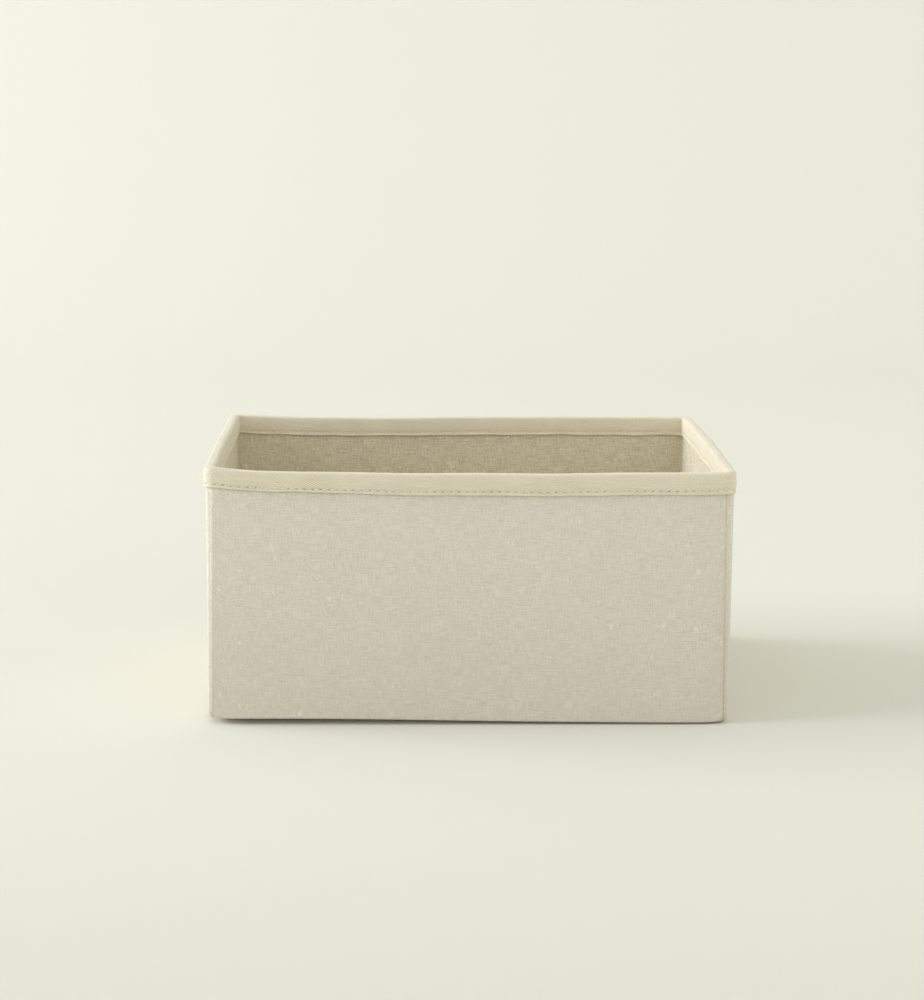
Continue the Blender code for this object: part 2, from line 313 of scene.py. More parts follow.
# ---------------------------------------------------------------- node helpers
class Nodes:
    """Short calls for building a material's nodes."""

    def __init__(self, name):
        self.material = bpy.data.materials.new(name)
        self.material.use_nodes = True
        self.tree = self.material.node_tree
        self.shader = self.tree.nodes["Principled BSDF"]

    def make(self, kind, **settings):
        node = self.tree.nodes.new(kind)
        for key, value in settings.items():
            setattr(node, key, value)
        return node

    def link(self, value, socket):
        if isinstance(value, bpy.types.NodeSocket):
            self.tree.links.new(value, socket)
        else:
            socket.default_value = value

    def math(self, operation, a, b=None, c=None):
        node = self.make("ShaderNodeMath", operation=operation)
        for socket, value in zip(node.inputs, (a, b, c)):
            if value is not None:
                self.link(value, socket)
        return node.outputs[0]

    def combine(self, x, y, z=0.0):
        node = self.make("ShaderNodeCombineXYZ")
        for socket, value in zip(node.inputs, (x, y, z)):
            self.link(value, socket)
        return node.outputs[0]

    def noise(self, vector, scale=1.0, detail=2.0, roughness=0.5):
        node = self.make("ShaderNodeTexNoise")
        self.link(vector, node.inputs["Vector"])
        node.inputs["Scale"].default_value = scale
        node.inputs["Detail"].default_value = detail
        node.inputs["Roughness"].default_value = roughness
        return node.outputs[0]

    def ramp(self, value, low, high):
        """The value mapped so that low gives 0 and high gives 1, smoothly, and clamped."""
        node = self.make("ShaderNodeMapRange", interpolation_type="SMOOTHSTEP")
        self.link(value, node.inputs[0])
        node.inputs[1].default_value = low
        node.inputs[2].default_value = high
        return node.outputs[0]

    def mix(self, share, first, second):
        node = self.make("ShaderNodeMix", data_type="RGBA")
        self.link(share, node.inputs[0])
        for socket, value in ((node.inputs[6], first), (node.inputs[7], second)):
            self.link(value if isinstance(value, bpy.types.NodeSocket) else (*value, 1.0), socket)
        return node.outputs[2]

    def scaled(self, value, factor):
        return self.math("MULTIPLY", value, factor)

    def vary(self, share, value, middle, weight):
        """The share, raised where the value is above its middle and lowered where it is below."""
        return self.math("MULTIPLY_ADD", self.math("SUBTRACT", value, middle), weight, share)

    def shade(self, share, dark, light):
        """The colour between dark and light at a share, which is clamped."""
        node = self.make("ShaderNodeMapRange")
        self.link(share, node.inputs[0])
        return self.mix(node.outputs[0], dark, light)

    def soft_gloss(self, sheen_roughness):
        """The faint gloss and fuzz of cotton."""
        self.shader.inputs["Specular IOR Level"].default_value = 0.25
        self.shader.inputs["Sheen Weight"].default_value = 0.12
        self.shader.inputs["Sheen Roughness"].default_value = sheen_roughness

    def cloth(self):
        """The flat cloth's two coordinates, in millimetres."""
        node = self.make("ShaderNodeAttribute", attribute_name="cloth_mm")
        split = self.make("ShaderNodeSeparateXYZ")
        self.tree.links.new(node.outputs["Vector"], split.inputs[0])
        self.above_seam = split.outputs[2]
        return split.outputs[0], split.outputs[1]

    def finish(self, colour, roughness, height, depth):
        self.link(colour, self.shader.inputs["Base Color"])
        self.link(roughness, self.shader.inputs["Roughness"])
        bump = self.make("ShaderNodeBump")
        bump.inputs["Strength"].default_value = 1.0
        bump.inputs["Distance"].default_value = depth
        self.link(height, bump.inputs["Height"])
        self.tree.links.new(bump.outputs[0], self.shader.inputs["Normal"])
        return self.material


WARP_PITCH, WEFT_PITCH = 0.56, 0.52
# Height on the cloth, in millimetres, up to which painted shade darkens the canvas's foot.
FOOT_SHADE_TOP = 100.0
TWILL_PITCH, TWILL_FLOAT, TWILL_SLOPE = 0.95, 0.62, math.radians(28)
HOLE_WIDE, HOLE_TALL = 1.5, 0.30
PLY_LENGTH = 0.55
# Painted shade for the needle's holes.
HOLE_SHADE_COLOUR = (0.40, 0.335, 0.220)


def yarn_ridge(n, across):
    """The round top of a yarn: 0 at its sides, 1 on top. The coordinate grows by one each yarn."""
    return n.math("ABSOLUTE", n.math("SINE", n.math("MULTIPLY", across, math.pi)))


def over_under(n, along, across, shift):
    """1 where a plain weave's yarn passes over, 0 where it passes under its neighbours."""
    number = n.math("FLOOR", across)
    phase = n.math("MULTIPLY", n.math("ADD", n.math("ADD", along, number), shift), math.pi)
    return n.math("MULTIPLY_ADD", n.math("SINE", phase), 0.5, 0.5)


def plain_weave(n, u, v):
    """The warp's and the weft's own coordinates, which wander a little, and the weave's height."""
    drift_u = n.noise(n.combine(u, v), 0.11, 2.0)
    drift_v = n.noise(n.combine(v, u, 5.0), 0.09, 2.0)
    warp = n.math("DIVIDE", n.math("MULTIPLY_ADD", drift_u, 1.3, u), WARP_PITCH)
    weft = n.math("DIVIDE", n.math("MULTIPLY_ADD", drift_v, 1.5, v), WEFT_PITCH)
    warp_top = n.math("MULTIPLY", yarn_ridge(n, warp), over_under(n, weft, warp, 0.5))
    weft_top = n.math("MULTIPLY", yarn_ridge(n, weft), over_under(n, warp, weft, 1.5))
    return warp, weft, n.math("MAXIMUM", warp_top, weft_top)


def slubs(n, u, v, warp, weft):
    """1 on the short thick places of single yarns, 0 elsewhere."""
    on_warp = n.noise(n.combine(warp, n.scaled(v, 0.30), 21.0), 0.55, 1.0)
    on_weft = n.noise(n.combine(n.scaled(u, 0.26), weft, 33.0), 0.55, 1.0)
    return n.math("MAXIMUM", n.ramp(on_warp, 0.70, 0.80), n.ramp(on_weft, 0.70, 0.80))


def canvas_material(name, dark, light, offset=0.0, contrast=1.0, foot_shade=0.0):
    """Plain-weave canvas: uneven yarns, slubs, light flecks, dark specks, and painted shade that greys the
    cloth towards its foot.
    """
    n = Nodes(name)
    u, v = n.cloth()
    u = n.math("ADD", u, offset)
    warp, weft, weave = plain_weave(n, u, v)
    warp_yarn = n.noise(n.combine(warp, n.scaled(v, 0.17)), 1.0, 2.0, 0.7)
    weft_yarn = n.noise(n.combine(n.scaled(u, 0.13), weft, 9.0), 1.0, 2.0, 0.7)
    slub = slubs(n, u, v, warp, weft)
    fleck = n.ramp(n.noise(n.combine(u, n.scaled(v, 0.42), 47.0), 0.33, 1.0), 0.73, 0.79)
    speck = n.ramp(n.noise(n.combine(u, v, 61.0), 0.75, 1.0), 0.81, 0.85)
    mottle = n.noise(n.combine(u, v, 83.0), 0.9, 2.0, 0.6)
    cloud = n.noise(n.combine(u, v, 71.0), 0.022, 3.0, 0.6)
    # Painted shade: the canvas is darkened towards its foot.
    foot = n.math("SUBTRACT", 1.0, n.ramp(v, 0.0, FOOT_SHADE_TOP))

    share = n.vary(0.5, warp_yarn, 0.5, 1.25 * contrast)
    share = n.vary(share, weft_yarn, 0.5, 1.45 * contrast)
    share = n.vary(share, mottle, 0.5, 0.55 * contrast)
    share = n.vary(share, cloud, 0.5, 0.22 * contrast)
    share = n.vary(share, weave, 0.6, 0.45 * contrast)
    share = n.math("MULTIPLY_ADD", slub, 0.16 * contrast, share)
    share = n.math("MULTIPLY_ADD", fleck, 0.60, share)
    share = n.math("MULTIPLY_ADD", speck, -0.75, share)
    share = n.vary(share, foot, 0.35, -foot_shade)

    height = n.math("MULTIPLY_ADD", warp_yarn, 0.35, weave)
    height = n.math("MULTIPLY_ADD", weft_yarn, 0.35, height)
    height = n.math("MULTIPLY_ADD", slub, 0.7, height)
    height = n.math("MULTIPLY_ADD", fleck, 0.9, height)
    roughness = n.math("MULTIPLY_ADD", weave, -0.08, 0.94)
    n.soft_gloss(0.6)
    return n.finish(n.shade(share, dark, light), roughness, height, 0.11 * MM)


def needle_hole(n, along):
    """1 in the holes that the needle leaves along the seam, 0 elsewhere."""
    pitch = STITCH_PITCH / MM
    away = n.math("PINGPONG", along, pitch / 2)
    wide = n.math("DIVIDE", away, HOLE_WIDE)
    tall = n.math("DIVIDE", n.above_seam, HOLE_TALL)
    reach = n.math("ADD", n.math("MULTIPLY", wide, wide), n.math("MULTIPLY", tall, tall))
    return n.math("SUBTRACT", 1.0, n.ramp(reach, 0.35, 1.3))


def twill_material(name, dark, light):
    """Cotton twill tape: slanted ribs of short floats, and the needle's holes, some nearly closed, with
    painted shade in them.
    """
    n = Nodes(name)
    u, v = n.cloth()
    sine, cosine = math.sin(TWILL_SLOPE), math.cos(TWILL_SLOPE)
    wander = n.scaled(n.noise(n.combine(u, v, 3.0), 0.25, 2.0), 0.9)
    across = n.math("MULTIPLY_ADD", u, sine, n.math("MULTIPLY_ADD", v, cosine, wander))
    along = n.math("MULTIPLY_ADD", u, cosine, n.scaled(v, -sine))
    rib_number = n.math("DIVIDE", across, TWILL_PITCH)
    stagger = n.scaled(n.math("FLOOR", rib_number), 0.37)
    floats = yarn_ridge(n, n.math("MULTIPLY_ADD", along, 1 / TWILL_FLOAT, stagger))
    weave = n.math("MULTIPLY", yarn_ridge(n, rib_number), n.math("MULTIPLY_ADD", floats, 0.35, 0.65))
    yarn = n.noise(n.combine(n.scaled(u, 0.06), n.scaled(v, 1.9), 13.0), 1.0, 2.0, 0.6)
    cloud = n.noise(n.combine(u, v, 17.0), 0.05, 3.0, 0.6)
    share = n.vary(0.55, weave, 0.55, 0.85)
    share = n.vary(share, yarn, 0.5, 0.8)
    share = n.vary(share, cloud, 0.5, 0.4)

    openness = n.noise(n.combine(n.scaled(u, 0.045), 5.0, 29.0), 1.0, 2.0, 0.7)
    openness = n.math("MULTIPLY_ADD", n.ramp(openness, 0.36, 0.64), 0.75, 0.25)
    hole = n.math("MULTIPLY", needle_hole(n, u), openness)
    # Painted shade: the needle's holes are coloured dark.
    colour = n.mix(hole, n.shade(share, dark, light), HOLE_SHADE_COLOUR)
    height = n.math("MULTIPLY_ADD", yarn, 0.25, weave)
    height = n.math("MULTIPLY_ADD", hole, -0.8, height)
    roughness = n.math("MULTIPLY_ADD", weave, -0.10, 0.92)
    n.soft_gloss(0.5)
    return n.finish(colour, roughness, height, 0.16 * MM)


def thread_material(name, dark, light):
    """Spun sewing thread: plies that wind round it."""
    n = Nodes(name)
    u, v = n.cloth()
    ply = yarn_ridge(n, n.math("MULTIPLY_ADD", u, 1 / PLY_LENGTH, v))
    fuzz = n.noise(n.combine(u, v), 3.0, 2.0)
    share = n.vary(ply, fuzz, 0.5, 0.6)
    n.shader.inputs["Sheen Weight"].default_value = 0.1
    return n.finish(n.shade(share, dark, light), 0.8, ply, 0.06 * MM)


def board_material(name, dark, light):
    """Pressed grey board: fibres and flecks."""
    n = Nodes(name)
    coordinates = n.make("ShaderNodeTexCoord").outputs["Object"]
    fibre = n.noise(coordinates, 900.0, 4.0, 0.65)
    fleck = n.ramp(n.noise(coordinates, 420.0, 1.0), 0.62, 0.72)
    share = n.math("MULTIPLY_ADD", fleck, -0.35, fibre)
    colour = n.mix(share, dark, light)
    return n.finish(colour, 0.9, fibre, 0.08 * MM)


def backing_material(name, dark, light):
    """Nonwoven sheet: fine fibres pressed in a lattice of small points."""
    n = Nodes(name)
    u, v = n.cloth()
    first = yarn_ridge(n, n.math("MULTIPLY", n.math("ADD", u, v), 0.42))
    second = yarn_ridge(n, n.math("MULTIPLY", n.math("SUBTRACT", u, v), 0.42))
    points = n.ramp(n.math("MULTIPLY", first, second), 0.05, 0.45)
    fibres = n.noise(n.combine(u, v), 2.5, 4.0, 0.7)
    share = n.math("MULTIPLY_ADD", points, 0.5, n.math("MULTIPLY", fibres, 0.5))
    colour = n.mix(share, dark, light)
    return n.finish(colour, 0.85, share, 0.10 * MM)


def stage_material(name, near, far):
    """Matt paper, with painted shade that darkens it a little towards the front."""
    n = Nodes(name)
    split = n.make("ShaderNodeSeparateXYZ")
    n.link(n.make("ShaderNodeTexCoord").outputs["Object"], split.inputs[0])
    # Painted shade: the floor colour is darker towards the front.
    colour = n.mix(n.ramp(split.outputs[1], -0.75, -0.05), near, far)
    grain = n.noise(n.make("ShaderNodeTexCoord").outputs["Object"], 300.0)
    n.shader.inputs["Specular IOR Level"].default_value = 0.1
    return n.finish(colour, 0.95, grain, 0.01 * MM)


# The outer canvas carries painted shade that darkens it towards its foot.
CANVAS_CLOTH = canvas_material(
    "linen_canvas", (0.600, 0.568, 0.472), (0.820, 0.785, 0.665), foot_shade=0.30
)
LINING_CLOTH = canvas_material(
    "lining_canvas", (0.520, 0.475, 0.340), (0.850, 0.785, 0.600), offset=311.0, contrast=1.4
)
TAPE_CLOTH = twill_material("twill_tape", (0.600, 0.556, 0.412), (0.865, 0.812, 0.640))
THREADS = thread_material("sewing_thread", (0.60, 0.56, 0.43), (0.88, 0.83, 0.66))
GREYBOARD = board_material("greyboard", (0.22, 0.19, 0.15), (0.42, 0.38, 0.31))
BACKING = backing_material("backing_sheet", (0.50, 0.47, 0.40), (0.74, 0.71, 0.63))


# ---------------------------------------------------------------- outer canvas
FOOT_GAP = 0.7 * MM
FOOT_LIFT = 2.3 * MM
FOOT_LIFT_REACH = 120 * MM
FOOT_TURN = 1.2 * MM
BASE_SETBACK = 4.2 * MM
BASE_RISE_RUN = 12 * MM
CORNER_TURN = 5.0 * MM
TURNED_IN = 6.0 * MM
RIM_BAND = 0.86
PUCKER, PUCKER_REACH = 0.10 * MM, 5 * MM
BOARD_CLEARANCE, LINING_CLEARANCE, BASE_CLEARANCE = 1.3 * MM, 1.0 * MM, 0.8 * MM


def foot_turn(s):
    """The radius with which the canvas turns under the bin: larger at the corners."""
    total = FOOT_TURN
    for turn in (1.5, 3.5, 5.5, 7.5):
        total = total + (CORNER_TURN - FOOT_TURN) * bell(from_corner(s, turn), 5.5 * MM)
    return total


def foot_gap(s):
    """How far the canvas's lower edge stands above the floor: more towards the front left corner."""
    return FOOT_GAP + FOOT_LIFT * bell(from_corner(s, 0.12), FOOT_LIFT_REACH)


def raised(height, s, clearance):
    """A height that gives way upwards where the canvas's lower edge stands above it."""
    return np.maximum(height, foot_gap(s) + clearance)


def wall_section(s):
    """Rows from the turned-in edge up the wall, as (inset, height, distance up the cloth)."""
    radius, gap = foot_turn(s), foot_gap(s)
    foot = gap + radius
    rows = [(CANVAS_INSET + TURNED_IN + radius * 0.3, gap + 0.5 * MM, -radius * 1.2 - TURNED_IN)]
    for angle in np.linspace(0.0, math.pi / 2, 8):
        inset = CANVAS_INSET + radius * (1 - math.sin(angle))
        rows.append((inset, gap + radius * (1 - math.cos(angle)), radius * (angle - math.pi / 2)))
    lower = evenly(0.0, RIM_BAND, 0.016)[1:]
    upper = evenly(RIM_BAND, 1.0, 0.0085)[1:]
    for share in np.concatenate([lower, upper]):
        up = share * (WALL_TOP - foot)
        rows.append((np.full_like(s, CANVAS_INSET), foot + up, up))
    return [np.array(part) for part in zip(*rows)]


def outer_panel(side, first_seam, last_seam):
    first, last = distance_at(SEAMS[first_seam]), distance_at(SEAMS[last_seam])
    s = columns_between(first - GIRTH * (first > last), last)
    inset, z, run = wall_section(s)
    s_grid = np.broadcast_to(s, z.shape)
    below_tape = np.exp(-np.abs(z - (RIM - TAPE_OUTSIDE_FALL)) / PUCKER_REACH)
    pucker = PUCKER * (0.3 + ripple(s_grid, 37, 60, 150)) * below_tape
    falls = seam_fall(s, SEAM_DEPTHS[first_seam], SEAM_DEPTHS[last_seam])
    points = place(s_grid, z, inset + falls + pinch(s_grid, z) - pucker)
    obj = new_object(f"{side}_canvas", points, grid_faces(*z.shape), CANVAS_CLOTH)
    set_cloth(obj, s_grid, run + foot_gap(s))
    solidify(obj, CANVAS)
    finish_piece(obj, "bin", f"outer_{side}_panel")


def outer_walls():
    outer_panel("front", "front_left", "front_right")
    outer_panel("right", "front_right", "back_right")
    outer_panel("back", "back_right", "back_left")
    outer_panel("left", "back_left", "front_left")


# ---------------------------------------------------------------- boards
def boards():
    """The wall boards, which follow the bow of the walls inside the cloth."""
    for number, side in enumerate(SIDES):
        start, end = KNOTS[2 * number] + 1 * MM, KNOTS[2 * number + 1] - 1 * MM
        s, share = np.meshgrid(evenly(start, end, 6 * MM), evenly(0.0, 1.0, 0.05))
        foot = raised(BOARD_FOOT, s, BOARD_CLEARANCE)
        z = foot + share * (BOARD_TOP - 1 * MM - foot)
        points = place(s, z, np.full_like(s, BOARD_INSET))
        obj = new_object(side + "_board", points, grid_faces(*s.shape), GREYBOARD)
        solidify(obj, BOARD_THICK)
        finish_piece(obj, "bin", side + "_stiffener")


# ---------------------------------------------------------------- lining
LINING_SLACK = 0.35 * MM
LINING_HELD_SIDE, LINING_HELD_TOP = 12 * MM, 25 * MM


def lining_wall(number, side):
    middle = 2 * number
    s = columns_between(distance_at(middle - 0.5), distance_at(middle + 1.5))
    band = RIM_BAND * RIM
    z = np.concatenate([evenly(LINING_FOOT, band, 2.2 * MM), evenly(band, RIM - 3 * MM, 1 * MM)[1:]])
    s_grid, z_grid = np.meshgrid(s, z)
    near_foot = 1 - smoothstep(LINING_FOOT, LINING_FOOT + 10 * MM, z_grid)
    z_grid = z_grid + near_foot * (raised(LINING_FOOT, s_grid, LINING_CLEARANCE) - LINING_FOOT)
    past_start = smoothstep(0.0, LINING_HELD_SIDE, s_grid - s[0])
    before_end = smoothstep(0.0, LINING_HELD_SIDE, s[-1] - s_grid)
    free = past_start * before_end * smoothstep(0.0, LINING_HELD_TOP, RIM - TAPE_INSIDE_FALL - z_grid)
    slack = np.abs(LINING_SLACK * ripple(s_grid, 41 + number, 6, 26, z_grid, 12.0)) * free
    falls = seam_fall(s, LINING_SEAM_DEPTH, LINING_SEAM_DEPTH)
    points = place(s_grid, z_grid, LINING_FACE - pinch(s_grid, z_grid) + slack - falls)
    faces = grid_faces(*s_grid.shape, flipped=True)
    obj = new_object(f"{side}_lining", points, faces, LINING_CLOTH)
    set_cloth(obj, s_grid, z_grid)
    solidify(obj, CANVAS)
    finish_piece(obj, "bin", "lining_" + side)


def lining_walls():
    for number, side in enumerate(SIDES):
        lining_wall(number, side)


# ---------------------------------------------------------------- rim tape
RIM_FACE_OUT = 0.15 * MM
RIM_FACE_IN = LINING_FACE + 0.10 * MM + TAPE
CROWN = 1.7 * MM
CROWN_SQUARENESS = 0.72
TAPE_JOIN = 2.5
TAPE_LAP = 12 * MM
LAP_STEP = 0.45 * MM
HEM_UNEVEN_OUT, HEM_UNEVEN_IN = 0.12 * MM, 0.14 * MM
NARROWING = 1.3 * MM
FLARE_OUT, FLARE_IN = 0.14 * MM, 0.34 * MM
PILLOW_OUT, PILLOW_IN = 0.24 * MM, 0.20 * MM


def tape_section(s):
    """Rows across the tape's outer surface, as (inset, height, distance from the outer hem)."""
    half = (RIM_FACE_IN - RIM_FACE_OUT) / 2
    middle = (RIM_FACE_IN + RIM_FACE_OUT) / 2
    shoulder = RIM - CROWN
    hem_out = RIM - TAPE_OUTSIDE_FALL + HEM_UNEVEN_OUT * ripple(s, 53, 6, 40) + NARROWING * narrow_end(s)
    hem_in = RIM - TAPE_INSIDE_FALL + HEM_UNEVEN_IN * ripple(s, 59, 6, 40)
    flare_out = FLARE_OUT * (1 + 0.7 * ripple(s, 61, 12, 70))
    flare_in = FLARE_IN * (1 + 0.4 * ripple(s, 67, 12, 70))
    rows = []
    for share in evenly(0.0, 1.0, 1 / 16):
        z = hem_out + share * (shoulder - hem_out)
        rise = np.clip((z - stitch_height(s)) / (shoulder - stitch_height(s)), 0, 1)
        pillow = PILLOW_OUT * np.sin(math.pi * rise) ** 0.8
        flare = flare_out * (1 - smoothstep(0.0, 1.6 * MM, z - hem_out))
        rows.append((RIM_FACE_OUT + pinch(s, z) - pillow - flare, z, z - hem_out))
    top_run = math.pi / 2 * (half + CROWN) / 2
    for share in evenly(0.0, 1.0, 1 / 14)[1:-1]:
        angle = share * math.pi
        across = math.copysign(abs(math.cos(angle)) ** CROWN_SQUARENESS, math.cos(angle))
        inset = middle - half * across * np.ones_like(s)
        z = shoulder + CROWN * math.sin(angle) ** CROWN_SQUARENESS * np.ones_like(s)
        rows.append((inset, z, shoulder - hem_out + share * 2 * top_run))
    for share in evenly(0.0, 1.0, 1 / 14):
        z = shoulder - share * (shoulder - hem_in)
        rise = np.clip((z - stitch_height(s)) / (shoulder - stitch_height(s)), 0, 1)
        pillow = PILLOW_IN * np.sin(math.pi * rise) ** 0.8
        flare = flare_in * (1 - smoothstep(0.2 * MM, 1.1 * MM, z - hem_in))
        run = shoulder - hem_out + 2 * top_run + shoulder - z
        rows.append((RIM_FACE_IN - pinch(s, z) + pillow + flare, z, run))
    return [np.array(part) for part in zip(*rows)]


def rim_tape():
    """The tape, folded over the rim. Its two ends lap on the right side."""
    start = distance_at(TAPE_JOIN)
    s = evenly(start, start + GIRTH + TAPE_LAP, 0.62 * MM)
    inset, z, run = tape_section(s)
    middle = (RIM_FACE_IN + RIM_FACE_OUT) / 2
    lap = LAP_STEP * smoothstep(GIRTH - 4 * MM, GIRTH + 1 * MM, s - start)
    lap = lap - (TAPE - LAP_STEP) * smoothstep(TAPE_LAP + 3 * MM, TAPE_LAP - 2 * MM, s - start)
    outwards = (middle - inset) / ((RIM_FACE_IN - RIM_FACE_OUT) / 2)
    inset = inset - lap * np.clip(outwards * 2, -1, 1)
    z = z + lap * smoothstep(RIM - CROWN, RIM, z)
    s_grid = np.broadcast_to(s, z.shape)
    obj = new_object("rim_twill_tape", place(s_grid, z, inset), grid_faces(*z.shape), TAPE_CLOTH)
    # Inside, the seam counts as far away: the needle's holes are drawn on the outer face only.
    above_seam = z - stitch_height(s_grid) + 10 * MM * (inset > middle)
    set_cloth(obj, s_grid, run, above_seam)
    solidify(obj, TAPE)
    finish_piece(obj, "bin", "rim_tape")


# ---------------------------------------------------------------- stitches
TUBE_SIDES = 8
TUBE_TAPER, TUBE_FLATNESS = 0.55, 0.85
STITCH_SINK, STITCH_PROUD = 0.62 * MM, 0.16 * MM
STITCH_TILT, STITCH_DRIFT = 0.07 * MM, 0.03 * MM
STITCH_GAP = 0.22 * MM
SEAM_THREAD, BASE_THREAD = 0.16 * MM, 0.17 * MM
SEAM_STITCH_STEP = 3.0 * MM
SEAM_STITCH_REACH, SEAM_STITCH_SLOPE = 0.55 * MM, 0.5 * MM


def tube_rings(line, normals, radius):
    """The rings of points of one tube that tapers at its ends, and how far along it each ring is."""
    angles = np.linspace(0, 2 * math.pi, TUBE_SIDES, endpoint=False)[None, :, None]
    tangents = np.gradient(line, axis=0)
    tangents /= np.linalg.norm(tangents, axis=1)[:, None]
    binormals = np.cross(tangents, normals)
    binormals /= np.linalg.norm(binormals, axis=1)[:, None]
    ups = np.cross(binormals, tangents)
    thickness = radius * np.ones(len(line))
    thickness[[0, -1]] *= TUBE_TAPER
    across = np.cos(angles) * binormals[:, None] + TUBE_FLATNESS * (np.sin(angles) * ups[:, None])
    run = np.concatenate([[0], np.cumsum(np.linalg.norm(np.diff(line, axis=0), axis=1))])
    return line[:, None] + thickness[:, None, None] * across, run


def thread_tubes(name, node, lines, radius):
    """One object with a short tube along each line. A line is (points, normals), both of shape (n, 3)."""
    points, faces, runs = [], [], []
    for line, normals in lines:
        start = len(points) * TUBE_SIDES
        rings, run = tube_rings(line, normals, radius)
        points.extend(rings)
        runs.extend(run)
        faces += grid_faces(len(line), TUBE_SIDES, closed=True, start=start)
        faces.append(tuple(range(start + TUBE_SIDES - 1, start - 1, -1)))
        last = start + (len(line) - 1) * TUBE_SIDES
        faces.append(tuple(range(last, last + TUBE_SIDES)))
    obj = new_object(name, np.array(points), faces, THREADS)
    round_it = np.tile(np.arange(TUBE_SIDES) / TUBE_SIDES * MM, len(points))
    set_cloth(obj, np.repeat(runs, TUBE_SIDES), round_it)
    finish_piece(obj, "bin", node)


def stitch_line(s_start, s_end, face, sign, seed):
    """One stitch between two needle holes, on the outer (sign 1) or inner (sign -1) face of the rim."""
    rng = np.random.default_rng(seed)
    share = np.linspace(0, 1, 9)
    s = s_start + (s_end - s_start) * share
    tilt = rng.normal(0, STITCH_TILT)
    z = stitch_height(s) + (share - 0.5) * tilt + rng.normal(0, STITCH_DRIFT)
    sink = STITCH_SINK * (bell(share, 0.13) + bell(1 - share, 0.13))
    inset = face + sign * (pinch(s, z) + sink - STITCH_PROUD)
    line = place(s, z, inset)
    normals = place(s, z, inset - sign * MM) - line
    return line, normals / np.linalg.norm(normals, axis=1)[:, None]


def over_join(s):
    """How far the tape's lapped end stands out at a distance along the outline."""
    past = np.mod(s - distance_at(TAPE_JOIN) + 3 * MM, GIRTH)
    return LAP_STEP * smoothstep(0, 4 * MM, past) * (past < TAPE_LAP + 3 * MM)


def rim_stitches():
    count = int(round(GIRTH / STITCH_PITCH))
    holes = np.arange(count + 1) * STITCH_PITCH
    outer, inner = [], []
    for number in range(count):
        start, end = holes[number] + STITCH_GAP, holes[number + 1] - STITCH_GAP
        step = over_join((start + end) / 2)
        outer.append(stitch_line(start, end, RIM_FACE_OUT - step, 1, 1000 + number))
        inner.append(stitch_line(start, end, RIM_FACE_IN + step, -1, 3000 + number))
    thread_tubes("rim_needle_stitches", "rim_needle_thread", outer, THREAD / 2)
    thread_tubes("rim_bobbin_stitches", "rim_bobbin_thread", inner, THREAD / 2)


def corner_seam_threads():
    """Ladder stitches at the bottom of the groove between two panels."""
    for corner, turn in SEAMS.items():
        seam = distance_at(turn)
        lines = []
        for z in np.arange(FOOT_GAP + 6 * MM, RIM - 13 * MM, SEAM_STITCH_STEP):
            share = np.linspace(-1, 1, 7)
            s = seam + share * SEAM_STITCH_REACH
            heights = z + share * SEAM_STITCH_SLOPE
            inset = CANVAS_INSET + SEAM_DEPTHS[corner] * 0.95 - 0.12 * MM * (1 - share**2)
            line = place(s, heights, inset)
            normals = place(s, heights, inset - MM) - line
            lines.append((line, normals / np.linalg.norm(normals, axis=1)[:, None]))
        thread_tubes(f"corner_stitches_{corner}", f"corner_thread_{corner}", lines, SEAM_THREAD)


# ---------------------------------------------------------------- base
BASE_CORNER, BASE_LINING_CORNER, BASE_SEAM_CORNER = 3.5 * MM, 2.0 * MM, 2.5 * MM
BASE_STITCH_HEIGHT, BASE_STITCH_SINK = 0.16 * MM, 0.3 * MM
BASE_LINING_WAVE = 0.10 * MM


def disc(half_x, half_y, radius, section, down=False):
    """A sheet over a rounded rectangle. section is (inset, height) from its edge to near its middle."""
    turns = turns_round(half_x, half_y)[None, :]
    insets, heights = (np.array(column)[:, None] for column in zip(*section))
    corner = np.maximum(radius - insets, 0.4 * MM)
    x, y, _, _ = outline(turns, half_x - insets, half_y - insets, corner)
    points = np.stack([x, y, np.broadcast_to(heights, x.shape)], axis=-1)
    rows, columns = x.shape
    faces = grid_faces(rows, columns, closed=True, flipped=down)
    middle = range((rows - 1) * columns, rows * columns)
    faces.append(tuple(reversed(middle)) if down else tuple(middle))
    return points, faces


def turns_round(half_x, half_y):
    """Turns round a rectangle, about 4 mm apart on its sides and close together on its corners."""
    side_shares = [np.linspace(0, 1, int(2 * half / (4 * MM)) + 1)[:-1] for half in (half_x, half_y)]
    corner_share = np.linspace(0, 1, 7)[:-1]
    parts = []
    for quarter in range(4):
        parts.append(2 * quarter + side_shares[quarter % 2])
        parts.append(2 * quarter + 1 + corner_share)
    return np.concatenate(parts)


def distances_round(half_x, half_y):
    """The bin's own distance along the outline at each of those turns."""
    return np.interp(turns_round(half_x, half_y), np.arange(9.0), KNOTS)


def base_canvas():
    """The outer underside: flat where it stands, and curved up to the walls' turned edge."""
    inset = CANVAS_INSET + BASE_SETBACK
    half_x, half_y = HALF_X - inset, HALF_Y - inset
    curve = evenly(0.0, BASE_RISE_RUN, 1 * MM)
    section = [(run, 1 - smoothstep(0.0, BASE_RISE_RUN, run)) for run in curve]
    section += [(run, 0.0) for run in evenly(BASE_RISE_RUN + 4 * MM, half_y - 1 * MM, 6 * MM)]
    points, faces = disc(half_x, half_y, BASE_CORNER, section, down=True)
    points[..., 2] *= foot_gap(distances_round(half_x, half_y)) + 0.2 * MM
    obj = new_object("base_canvas", points, faces, CANVAS_CLOTH)
    set_cloth(obj, points[..., 0] + 0.5, points[..., 1] + 0.7)
    solidify(obj, CANVAS)
    finish_piece(obj, "bin", "outer_base_panel")


